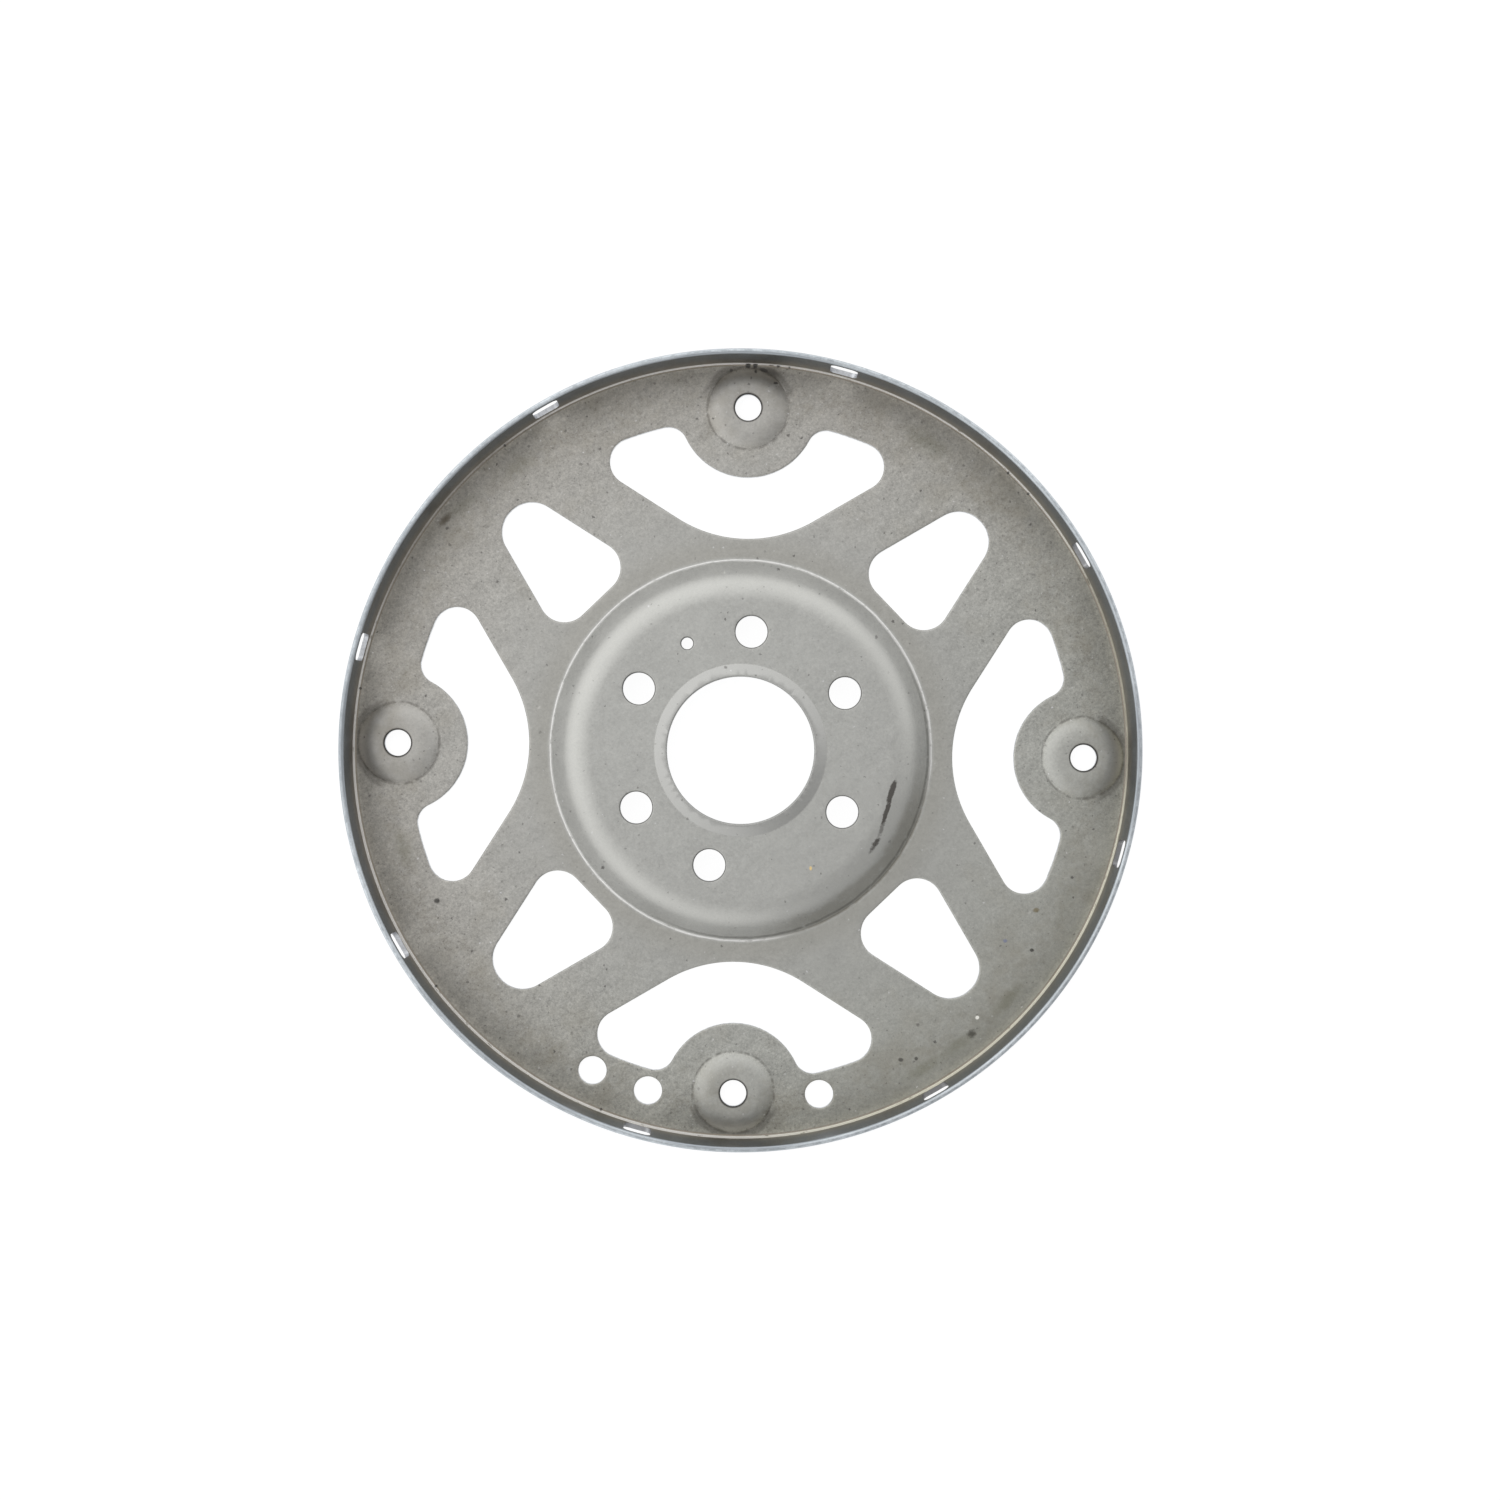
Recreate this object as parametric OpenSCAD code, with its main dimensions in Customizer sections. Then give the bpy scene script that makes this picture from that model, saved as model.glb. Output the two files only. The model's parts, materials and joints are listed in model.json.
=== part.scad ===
// Pressed steel flexplate: one drawn sheet with a raised hub, four converter bosses,
// eight lightening windows and an upright rim that carries eight sensor slots.
// Millimetres, +Z up. The origin is on the axis, on the flat back face of the web.

/* [Sheet] */
// thickness of the steel sheet
sheet_t = 2.2; // [1.6:0.1:3]

/* [Rim] */
// outer diameter of the upright rim
rim_d = 327; // [318:1:400]
// height of the rim's edge above the back face
rim_h = 23; // [18:0.5:40]
// inner radius of the crease between web and rim
rim_crease_r = 0.8; // [0.4:0.1:1]
// break on the rim's two upper edges
rim_edge = 0.3; // [0.1:0.1:0.6]

/* [Rim slots] */
// number of sensor slots round the rim
slot_n = 8; // [2:1:12]
// length of a slot along the rim
slot_w = 11.4; // [6:0.2:30]
// height of a slot's lower edge above the web
slot_up = 4.4; // [2:0.1:8]
// height of the strip of rim that is left above a slot
slot_bridge = 2.4; // [1:0.1:6]
// corner radius of a slot
slot_r = 2.5; // [0.5:0.1:2.9]
// turn of the first slot from the side bosses
slot_phase = 31; // [0:0.5:90]

/* [Hub] */
// diameter at which the hub's wall runs out into the web
hub_foot_d = 159.6; // [150:0.2:190]
// height of the hub above the web
hub_rise = 8; // [4:0.5:11]
// lean of the hub's wall from flat
hub_lean = 36; // [30:1:60]
// outer radius of the bend at the top of the hub's wall
hub_bend_r = 20; // [4:0.5:24]
// inner radius of the crease at the foot of the hub's wall
hub_crease_r = 0.8; // [0.4:0.1:2]

/* [Centre bore] */
// diameter of the centre bore
bore_d = 60.8; // [40:0.2:74]
// width of the lip that slopes up to the bore
lip_w = 5.3; // [3:0.1:9]
// height of the lip above the hub
lip_rise = 2; // [1:0.1:3]
// bevel on the lip's inner edge
lip_bevel = 0.7; // [0.2:0.1:1]

/* [Crank bolts] */
// bolt circle of the crank holes
crank_pcd = 98.4; // [92:0.2:112]
// diameter of a crank hole
crank_hole_d = 13.2; // [8:0.1:16]
// lean of the four paired crank holes from the side bosses' line
crank_pair_a = 30; // [22:1:38]
// places of the two odd crank holes
crank_odd_a = [86, 256]; // [0:1:359]
// circle that the small locating hole is on
locating_pcd = 98.8; // [92:0.2:112]
// diameter of the locating hole
locating_d = 4.9; // [3:0.1:8]
// place of the locating hole
locating_a = 117.8; // [106:0.2:126]

/* [Converter bosses] */
// bolt circle of the converter holes
converter_pcd = 285.75; // [240:0.25:286]
// diameter of a converter hole
converter_hole_d = 10.9; // [6:0.1:14]
// diameter at which a boss runs out into the web
boss_foot_d = 34.2; // [28:0.2:34.4]
// height of a boss above the web
boss_rise = 2.2; // [1:0.1:3]
// lean of a boss's wall from flat
boss_lean = 28; // [26:1:55]
// outer radius of the bend at a boss's top
boss_bend_r = 15; // [4:0.5:16]
// inner radius of the crease at a boss's foot
boss_crease_r = 0.8; // [0.4:0.1:2]

/* [Windows] */
// land between the windows and the rim's inner face
window_rim_land = 22.7; // [20:0.1:30]
// land between the windows and the hub's foot
window_hub_land = 6.8; // [4:0.1:16]
// land between a boss's foot and its kidney window
window_boss_land = 11.7; // [6:0.1:14]
// width of a spoke between two windows
spoke_w = 25.2; // [18:0.2:32]
// lean of a spoke from the diagonal
spoke_lean = 13.7; // [8:0.1:18]
// corner radius at a kidney window's two ends
kidney_end_r = 10; // [5:0.5:12]
// corner radius beside the boss
kidney_horn_r = 8; // [3:0.5:9]
// width of a keystone window's outer end
keystone_end_w = 19.7; // [12:0.1:30]
// corner radius at a keystone window's inner edge
keystone_in_r = 10.8; // [4:0.2:12]
// corner radius at a keystone window's outer end
keystone_out_r = 12.2; // [4:0.2:13]

/* [Balance holes] */
// distance of the drilled balance holes from the rim's inner face
balance_in = 14; // [10:0.1:16]
// diameter of a balance hole
balance_hole_d = 11.8; // [5:0.1:12]
// places of the balance holes
balance_a = [246.4, 256, 284.1]; // [0:0.1:359]

/* [Hidden] */
$fn = 144;
// overlap that lets two round faces cross instead of only touching
blend = 0.004;
// how far a corner piece and a through cut reach past the sheet
corner_over = 0.5;
cut_over = 1;
// how far the hub side's arc runs on past its spoke
sweep_over = 3;
// how far a window's outline runs past the circle that trims it
trim_over = 1.1;
// number of converter bosses, each with its window and two spokes
boss_n = 4;
rim_r = rim_d / 2;
rim_in_r = rim_r - sheet_t;
bore_r = bore_d / 2;
lip_foot_r = bore_r + lip_w;
hub_top = hub_rise + sheet_t;
lip_top = hub_top + lip_rise;
lip_lean = atan(lip_rise / lip_w);
slot_z = sheet_t + slot_up;
slot_h = rim_h - slot_bridge - slot_z;
converter_r = converter_pcd / 2;
window_in_r = hub_foot_d / 2 + window_hub_land;
window_out_r = rim_in_r - window_rim_land;
balance_pcd = 2 * (rim_in_r - balance_in);
boss_step = 360 / boss_n;
hub_form = [hub_foot_d / 2, hub_rise, hub_lean, hub_bend_r, hub_crease_r];
boss_form = [boss_foot_d / 2, boss_rise, boss_lean, boss_bend_r, boss_crease_r];
crank_a = [
    crank_pair_a,
    180 - crank_pair_a,
    180 + crank_pair_a,
    360 - crank_pair_a,
    crank_odd_a[0],
    crank_odd_a[1]
];

// keystone window, with its diagonal on +X: half widths at its outer and inner edge
keystone_out_w = keystone_end_w / 2;
keystone_side = keystone_out_w + window_out_r * tan(spoke_lean);
keystone_in_w = keystone_side - window_in_r * tan(spoke_lean);
keystone_out_fit = min(keystone_out_r, keystone_out_w / tan((90 - spoke_lean) / 2));

// kidney window, with its converter hole on +X: the spoke's edge, then the two corner centres
kidney_a = boss_step / 2 - spoke_lean;
flank_in = [cos(kidney_a), -sin(kidney_a)];
flank_out = [sin(kidney_a), cos(kidney_a)];
flank_d = keystone_side * cos(spoke_lean) + spoke_w;
kidney_hub_r = converter_r * cos(kidney_a) - flank_d;
kidney_boss_r = boss_foot_d / 2 + window_boss_land;
end_d = flank_d + kidney_end_r;
end_c = end_d * flank_in + sqrt(pow(window_out_r - kidney_end_r, 2) - pow(end_d, 2)) * flank_out;
horn_out = window_out_r - kidney_horn_r;
horn_in = kidney_boss_r + kidney_horn_r;
horn_x = (pow(horn_out, 2) - pow(horn_in, 2) + pow(converter_r, 2)) / (2 * converter_r);
horn_c = [horn_x, sqrt(pow(horn_out, 2) - pow(horn_x, 2))];
flank_start = [converter_r, 0] - kidney_hub_r * flank_in;
flank_end = end_c - kidney_end_r * flank_in;
end_past = trim_over * window_out_r * unit(end_c);
horn_past = trim_over * window_out_r * unit(horn_c);

function unit(v) = v / norm(v);

function flip(p) = [p[0], -p[1]];

// largest bend that leaves the wall of a pressed form some length
function bend_fit(rise, lean, bend, crease) = min(bend, rise / (1 - cos(lean)) - crease);

// The part of a sharp corner that lies outside a round of radius r about c.
module corner(c, r, toward, spread) {
    far = r + corner_over;
    translate(c)
        rotate(toward)
            difference() {
                polygon([
                    [0, 0],
                    far * [cos(spread), -sin(spread)],
                    [far / cos(spread), 0],
                    far * [cos(spread), sin(spread)]
                ]);
                circle(r + blend);
            }
}

// A convex outline with each of its corners rounded.
module rounded(points, radii) {
    n = len(points);
    difference() {
        polygon(points);
        for (i = [0 : n - 1]) {
            before = unit(points[(i + n - 1) % n] - points[i]);
            after = unit(points[(i + 1) % n] - points[i]);
            inward = unit(before + after);
            half = acos(before * after) / 2;
            corner(points[i] + inward * radii[i] / sin(half), radii[i],
                atan2(-inward[1], -inward[0]), 90 - half);
        }
    }
}

// Half section of all that lies under a face of a pressed form: its upper face, or with
// an inset of the sheet's thickness its lower one.
module under_face(form, inset, sink) {
    base = sheet_t - inset;
    lean = form[2];
    crease = form[4] + inset;
    bend = bend_fit(form[1], lean, form[3], form[4]) - inset;
    foot = form[0] - crease * tan(lean / 2);
    top = foot - form[1] / tan(lean);
    difference() {
        union() {
            polygon([
                [0, base - sink],
                [0, base + form[1]],
                [top, base + form[1]],
                [foot, base],
                [foot, base - sink]
            ]);
            corner([form[0], base + crease], crease, 270 - lean / 2, lean / 2);
        }
        corner([top - bend * tan(lean / 2), base + form[1] - bend], bend, 90 - lean / 2, lean / 2);
    }
}

// Flat web and upright rim, turned in one section.
module pan() {
    bend_c = [rim_in_r - rim_crease_r, sheet_t + rim_crease_r];
    rotate_extrude()
        difference() {
            union() {
                polygon([
                    [0, 0],
                    [rim_r, 0],
                    [rim_r, rim_h - rim_edge],
                    [rim_r - rim_edge, rim_h],
                    [rim_in_r + rim_edge, rim_h],
                    [rim_in_r, rim_h - rim_edge],
                    [rim_in_r, sheet_t],
                    [0, sheet_t]
                ]);
                corner(bend_c, rim_crease_r, 315, 45);
            }
            corner(bend_c, rim_crease_r + sheet_t, 315, 45);
        }
}

// Cone of the bore's lip above the hub, or with an inset the hollow under it.
module lip(inset) {
    rise = lip_rise + inset - inset / cos(lip_lean);
    foot = lip_foot_r - inset * tan(lip_lean / 2);
    level = hub_top - inset;
    rotate_extrude()
        polygon([
            [0, level - corner_over],
            [0, level + rise],
            [bore_r, level + rise],
            [foot, level],
            [foot, level - corner_over]
        ]);
}

module at_bosses() {
    for (k = [0 : boss_n - 1])
        rotate(k * boss_step)
            translate([converter_r, 0, 0])
                children();
}

module raised() {
    rotate_extrude()
        under_face(hub_form, 0, corner_over);
    lip(0);
    at_bosses()
        rotate_extrude()
            under_face(boss_form, 0, corner_over);
}

module hollows() {
    rotate_extrude()
        under_face(hub_form, sheet_t, cut_over);
    lip(sheet_t);
    at_bosses()
        rotate_extrude()
            under_face(boss_form, sheet_t, cut_over);
}

// Window round a boss, between two spokes, that stays clear of the boss's foot and the hub's.
module kidney() {
    hole = [converter_r, 0];
    difference() {
        union() {
            intersection() {
                circle(window_out_r);
                polygon([
                    flip(flank_start),
                    flank_start,
                    flank_end,
                    end_c,
                    end_past,
                    horn_past,
                    horn_c,
                    hole,
                    flip(horn_c),
                    flip(horn_past),
                    flip(end_past),
                    flip(end_c),
                    flip(flank_end)
                ]);
            }
            intersection() {
                translate(hole)
                    circle(kidney_hub_r + blend);
                polygon([
                    hole,
                    hole + 2 * kidney_hub_r * [-cos(kidney_a + sweep_over), sin(kidney_a + sweep_over)],
                    hole + 2 * kidney_hub_r * [-cos(kidney_a + sweep_over), -sin(kidney_a + sweep_over)]
                ]);
            }
            for (c = [end_c, flip(end_c)])
                translate(c)
                    circle(kidney_end_r + blend);
            for (c = [horn_c, flip(horn_c)])
                translate(c)
                    circle(kidney_horn_r + blend);
        }
        translate(hole)
            circle(kidney_boss_r);
        circle(window_in_r);
    }
}

// Window on the diagonal, with the spokes along its two sides.
module keystone() {
    rounded([
        [window_in_r, -keystone_in_w],
        [window_out_r, -keystone_out_w],
        [window_out_r, keystone_out_w],
        [window_in_r, keystone_in_w]
    ], [keystone_in_r, keystone_out_fit, keystone_out_fit, keystone_in_r]);
}

module windows() {
    translate([0, 0, -cut_over])
        linear_extrude(sheet_t + 2 * cut_over)
            for (k = [0 : boss_n - 1]) {
                rotate(k * boss_step)
                    kidney();
                rotate((k + 0.5) * boss_step)
                    keystone();
            }
}

module rim_slots() {
    for (k = [0 : slot_n - 1])
        rotate(slot_phase + k * 360 / slot_n)
            translate([rim_in_r - cut_over, 0, slot_z])
                rotate([90, 0, 90])
                    linear_extrude(sheet_t + 2 * cut_over)
                        rounded([
                            [-slot_w / 2, 0],
                            [slot_w / 2, 0],
                            [slot_w / 2, slot_h],
                            [-slot_w / 2, slot_h]
                        ], [slot_r, slot_r, slot_r, slot_r]);
}

// Round hole through everything at a place on a circle.
module drill(d, pcd, angle) {
    rotate(angle)
        translate([pcd / 2, 0, -cut_over])
            cylinder(h = lip_top + 2 * cut_over, d = d);
}

module holes() {
    drill(bore_d, 0, 0);
    translate([0, 0, lip_top - lip_bevel])
        cylinder(h = 2 * lip_bevel, r1 = bore_r, r2 = bore_r + 2 * lip_bevel);
    for (a = crank_a)
        drill(crank_hole_d, crank_pcd, a);
    drill(locating_d, locating_pcd, locating_a);
    for (k = [0 : boss_n - 1])
        drill(converter_hole_d, converter_pcd, k * boss_step);
    for (a = balance_a)
        drill(balance_hole_d, balance_pcd, a);
}

module flexplate() {
    color([0.53, 0.52, 0.49])
        difference() {
            union() {
                pan();
                raised();
            }
            hollows();
            windows();
            rim_slots();
            holes();
        }
}

flexplate();
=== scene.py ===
import json
import math

import bmesh
import bpy
import numpy as np
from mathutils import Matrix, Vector, kdtree
from mathutils.geometry import delaunay_2d_cdt


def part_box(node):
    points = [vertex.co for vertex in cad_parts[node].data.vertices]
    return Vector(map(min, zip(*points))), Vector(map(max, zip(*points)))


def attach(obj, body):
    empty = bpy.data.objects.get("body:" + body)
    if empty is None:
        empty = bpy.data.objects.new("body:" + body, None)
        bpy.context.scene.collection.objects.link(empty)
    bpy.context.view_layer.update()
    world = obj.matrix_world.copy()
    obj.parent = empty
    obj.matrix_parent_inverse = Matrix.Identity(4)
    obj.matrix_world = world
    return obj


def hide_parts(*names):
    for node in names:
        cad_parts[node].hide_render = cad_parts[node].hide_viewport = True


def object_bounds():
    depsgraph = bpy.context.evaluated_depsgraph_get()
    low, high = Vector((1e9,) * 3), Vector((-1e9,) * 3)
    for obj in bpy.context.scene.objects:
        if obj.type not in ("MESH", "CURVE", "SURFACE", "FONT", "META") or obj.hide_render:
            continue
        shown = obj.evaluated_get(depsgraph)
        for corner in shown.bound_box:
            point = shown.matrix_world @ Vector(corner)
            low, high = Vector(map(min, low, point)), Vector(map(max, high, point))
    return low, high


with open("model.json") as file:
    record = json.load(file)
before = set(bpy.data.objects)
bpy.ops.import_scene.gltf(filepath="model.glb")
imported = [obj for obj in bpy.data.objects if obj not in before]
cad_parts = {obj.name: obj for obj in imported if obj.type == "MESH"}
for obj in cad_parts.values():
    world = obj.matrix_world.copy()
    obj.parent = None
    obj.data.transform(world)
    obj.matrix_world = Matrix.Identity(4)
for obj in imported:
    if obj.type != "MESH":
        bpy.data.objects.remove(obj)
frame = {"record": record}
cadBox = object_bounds()
mounts = {m["name"]: m for m in frame["record"]["mounts"]}
print("frame loaded")

metre = 1000  # in millimetres
quarterTurns = (0, 90, 180, 270)

# sizes of the pressing, in millimetres and degrees
pressing = {
    "sheet": 2.2,
    # rounded down, so that it stays within the CAD's
    "rimRadius": math.floor(min(abs(v) for corner in cadBox for v in corner[:2]) * 1e5) / 100,
    "rimHeight": round(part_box("flexplate")[1].z * metre, 3),
    "rimCrease": 0.8,
    "rimCrown": 0.6,
    "slotCount": 8,
    "slotLength": 11.4,
    "slotLow": 6.6,
    "slotHigh": 20.6,
    "slotCorner": 2.5,
    "slotTurn": 31.0,
    "hub": {"foot": 79.8, "rise": 8.0, "lean": 36.0, "bend": 20.0, "crease": 0.8},
    "boss": {"foot": 17.1, "rise": 2.2, "lean": 28.0, "bend": 15.0, "crease": 0.8},
    "boreRadius": mounts["centre_bore"]["dims"]["r_mm"],
    "lipWidth": 5.3,
    "lipRise": 2.0,
    "lipBevel": 0.7,
    "converterRadius": mounts["converter_bolts"]["dims"]["pcd_mm"] / 2,
    "balanceRadius": 147.3,
    "balanceHole": 5.9,
    "balanceTurns": (246.4, 256.0, 284.1),
    "windowIn": 86.6,
    "windowOut": 138.6,
    "spokeWidth": 25.2,
    "spokeLean": 13.7,
    "bossLand": 28.8,
    "kidneyEnd": 10.0,
    "kidneyHorn": 8.0,
    "keystoneEnd": 9.85,
    "keystoneInCorner": 10.8,
    "keystoneOutCorner": 12.2,
}

# how finely the sheet is laid out, and what the press left on it
sheetwork = {
    "edgeStep": 1.1,  # spacing of points along a cut edge
    "cornerShare": 0.7,  # the part of that spacing used round a corner
    "holeShare": 0.6,  # and round a bolt hole
    "fillStep": 3.2,  # spacing of points on the flats
    "fillReach": 165,
    "fillMargin": 1,  # how far they stay from the border
    "sheetClear": 0.3,  # and from any outline, on the sheet and on the rim's wall
    "wallClear": 0.9,
    "ringStep": 1.25,  # spacing of points round the hub and the bosses
    "hubRows": (6, 3, 12),  # rings over the crease, the wall and the bend
    "bossRows": (5, 1, 9),
    "lipRows": (-0.3, 0, 0.3),  # rings by the lip's foot
    "bevelRows": (0, 0.25, 0.46, 0.56),  # rings over the lip's bevel
    "rimSteps": 720,  # points round the rim
    "foldRows": (6, 8),  # rings round the fold at the rim's foot, inside and outside
    "wallRows": 8,
    "crownRows": 10,
    "rollTop": ((0.0, 0.34), (0.18, 0.13), (0.42, 0.03), (0.78, 0.0)),  # distance from a cut edge, and drop
    "rollBack": ((0.0, 0.09), (0.22, 0.0)),
    "slotRoll": 0.5,  # how deep the edge is rolled round a slot, beside a window
    "converterRoll": 1.5,  # and round a converter hole
    "edgeMarks": {"window": 0.25, "crank": 0.75, "converter": 1.0, "balance": 0.2},  # how much grime and painted shade lies along each kind of cut edge
    "nicks": (  # place, radius and depth of the dents in the upper face
        (-85.0, 16.2, 1.1, 0.14),
        (121.7, -64.7, 1.2, 0.16),
        (153.0, 38.8, 1.3, 0.18),
        (22.3, -140.6, 1.1, 0.14),
    ),
    "nickStep": 0.35,
    "nickRings": (0.3, 0.6, 0.85, 1.1),  # shares of a dent's radius
    "nickClear": 1.6,
    "mergeGap": 1e-5,  # nearer points of one face are one, in millimetres
    "weldGap": 2e-6,  # and of two faces, in metres
    "sharpTurn": 38,
}


def unit(v):
    return v / np.linalg.norm(v)


def polar(radius, turn):
    return radius * np.array([math.cos(math.radians(turn)), math.sin(math.radians(turn))])


def turnOf(v):
    return math.degrees(math.atan2(v[1], v[0]))


def turned(points, turn):
    c, s = math.cos(math.radians(turn)), math.sin(math.radians(turn))
    return points @ np.array([[c, s], [-s, c]])


def arcRun(centre, radius, start, stop, step, side=1):  # side -1 where the sheet is inside the arc
    count = max(3, math.ceil(abs(stop - start) * math.pi / 180 * radius / step))
    turns = np.radians(np.linspace(start, stop, count, endpoint=False))
    out = np.column_stack([np.cos(turns), np.sin(turns)])
    return np.asarray(centre) + radius * out, side * out


def lineRun(a, b, normal, step):
    count = max(2, math.ceil(np.linalg.norm(b - a) / step))
    share = np.linspace(0, 1, count, endpoint=False)[:, None]
    return a + share * (b - a), np.tile(normal, (count, 1))


def joinRuns(runs):  # an outline is its points and, at each, the way into the sheet
    return np.vstack([r[0] for r in runs]), np.vstack([r[1] for r in runs])


def moved(outline, turn):
    return turned(outline[0], turn), turned(outline[1], turn)


def roundOutline(radius, step, centre=(0, 0)):
    return arcRun(centre, radius, 0, 360, step)


def roundedOutline(corners, radii, step):  # corners run counterclockwise round the opening
    runs, tangents = [], []
    total = len(corners)
    fine = step * sheetwork["cornerShare"]
    for i in range(total):
        before = unit(corners[i - 1] - corners[i])
        after = unit(corners[(i + 1) % total] - corners[i])
        half = math.acos(np.dot(before, after)) / 2
        reach = radii[i] / math.tan(half)
        centre = corners[i] + unit(before + after) * radii[i] / math.sin(half)
        tangents.append((corners[i] + before * reach, corners[i] + after * reach, centre, math.pi - 2 * half))
    for i in range(total):
        enter, leave, centre, sweep = tangents[i]
        start = turnOf(enter - centre)
        runs.append(arcRun(centre, radii[i], start, start + math.degrees(sweep), fine))
        ahead = tangents[(i + 1) % total][0]
        along = unit(ahead - leave)
        runs.append(lineRun(leave, ahead, np.array([along[1], -along[0]]), step))
    return joinRuns(runs)


def flankOffset(p):  # half width of a keystone, if its flanks ran on to the plate's axis
    return p["keystoneEnd"] + p["windowOut"] * math.tan(math.radians(p["spokeLean"]))


def keystoneOutline(p, w):
    inner = flankOffset(p) - p["windowIn"] * math.tan(math.radians(p["spokeLean"]))
    corners = np.array([
        [p["windowIn"], -inner],
        [p["windowOut"], -p["keystoneEnd"]],
        [p["windowOut"], p["keystoneEnd"]],
        [p["windowIn"], inner],
    ])
    radii = [p["keystoneInCorner"], p["keystoneOutCorner"], p["keystoneOutCorner"], p["keystoneInCorner"]]
    return roundedOutline(corners, radii, w["edgeStep"])


def kidneyOutline(p, w):
    flankTurn = 45 - p["spokeLean"]
    flankIn = polar(1, -flankTurn)
    flankOut = polar(1, 90 - flankTurn)
    flank = flankOffset(p) * math.cos(math.radians(p["spokeLean"])) + p["spokeWidth"]
    hole = np.array([p["converterRadius"], 0])
    hubSide = p["converterRadius"] * math.cos(math.radians(flankTurn)) - flank
    endAway = flank + p["kidneyEnd"]
    endRun = math.sqrt((p["windowOut"] - p["kidneyEnd"]) ** 2 - endAway ** 2)
    end = endAway * flankIn + endRun * flankOut
    hornOut = p["windowOut"] - p["kidneyHorn"]
    hornIn = p["bossLand"] + p["kidneyHorn"]
    hornX = (hornOut ** 2 - hornIn ** 2 + p["converterRadius"] ** 2) / (2 * p["converterRadius"])
    horn = np.array([hornX, math.sqrt(hornOut ** 2 - hornX ** 2)])
    flip = np.array([1, -1])
    endTurn, hornTurn, bossTurn = turnOf(end), turnOf(horn), turnOf(horn - hole)
    flankStart = hole - hubSide * flankIn
    flankStop = end - p["kidneyEnd"] * flankIn
    step = w["edgeStep"]
    fine = step * w["cornerShare"]
    return joinRuns([
        arcRun(hole, hubSide, 180 + flankTurn, 180 - flankTurn, step),
        lineRun(flankStart, flankStop, -flankIn, step),
        arcRun(end, p["kidneyEnd"], 180 - flankTurn, endTurn, fine),
        arcRun((0, 0), p["windowOut"], endTurn, hornTurn, step),
        arcRun(horn, p["kidneyHorn"], hornTurn, bossTurn - 180, fine),
        arcRun(hole, p["bossLand"], bossTurn, 360 - bossTurn, step, -1),
        arcRun(horn * flip, p["kidneyHorn"], 180 - bossTurn, -hornTurn, fine),
        arcRun((0, 0), p["windowOut"], -hornTurn, -endTurn, step),
        arcRun(end * flip, p["kidneyEnd"], -endTurn, flankTurn - 180, fine),
        lineRun(flankStop * flip, flankStart * flip, -flankIn * flip, step),
    ])


def formSteps(form, inset):  # distances from the form's axis at which its section changes
    lean = math.radians(form["lean"])
    crease, bend = form["crease"] + inset, form["bend"] - inset
    creaseEnd = form["foot"] - crease * math.sin(lean)
    wallRise = form["rise"] - (crease + bend) * (1 - math.cos(lean))
    wallEnd = creaseEnd - wallRise / math.tan(lean)
    return creaseEnd, wallEnd, wallEnd - bend * math.sin(lean)


def formRise(away, form, inset):  # height of a pressed form's face at a distance from its axis
    lean = math.radians(form["lean"])
    crease, bend = form["crease"] + inset, form["bend"] - inset
    creaseEnd, wallEnd, bendEnd = formSteps(form, inset)
    low = crease - np.sqrt(np.maximum(crease ** 2 - (form["foot"] - away) ** 2, 0))
    wall = crease * (1 - math.cos(lean)) + (creaseEnd - away) * math.tan(lean)
    high = form["rise"] - bend + np.sqrt(np.maximum(bend ** 2 - (away - bendEnd) ** 2, 0))
    places = [away >= form["foot"], away > creaseEnd, away > wallEnd, away > bendEnd]
    return np.select(places, [0 * away, low, wall, high], form["rise"])


def formRings(form, inset, rows):
    stops = (form["foot"], *formSteps(form, inset))
    rings = [form["foot"]]
    for i, count in enumerate(rows):
        rings.extend(np.linspace(stops[i], stops[i + 1], count + 1)[1:])
    return rings


def lipSection(p, inset):  # slope of the lip round the bore, and the radius of its foot
    slope = math.atan(p["lipRise"] / p["lipWidth"])
    return slope, p["boreRadius"] + p["lipWidth"] - inset * math.tan(slope / 2)


def bossCentres(p):
    return [polar(p["converterRadius"], turn) for turn in quarterTurns]


def faceHeight(xy, p, back):  # z of the upper face, or of the back face
    inset = p["sheet"] if back else 0
    away = np.hypot(xy[:, 0], xy[:, 1])
    z = p["sheet"] - inset + formRise(away, p["hub"], inset)
    slope, lipFoot = lipSection(p, inset)
    lip = np.maximum(lipFoot - away, 0) * math.tan(slope)
    if not back:
        lip = np.minimum(lip, p["lipRise"] - p["lipBevel"] + (away - p["boreRadius"]))
    z += np.where(away < lipFoot, lip, 0)
    for centre in bossCentres(p):
        z += formRise(np.hypot(*(xy - centre).T), p["boss"], inset)
    return z


def cutOutlines(p, w):  # every opening through the sheet, with the bore first
    fine = w["edgeStep"] * w["holeShare"]
    cuts = [("bore", roundOutline(p["boreRadius"], w["edgeStep"]))]
    for turn in quarterTurns:
        cuts.append(("window", moved(kidneyOutline(p, w), turn)))
        cuts.append(("window", moved(keystoneOutline(p, w), turn + 45)))
    for name, mount in mounts.items():
        if mount["kind"] == "bore" and name != "centre_bore":
            centre = [metre * v for v in mount["pos_m"][:2]]
            kind = "crank" if math.hypot(*centre) < p["hub"]["foot"] else "converter"
            cuts.append((kind, roundOutline(mount["dims"]["r_mm"], fine, centre)))
    for turn in p["balanceTurns"]:
        cuts.append(("balance", roundOutline(p["balanceHole"], fine, polar(p["balanceRadius"], turn))))
    return cuts


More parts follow.
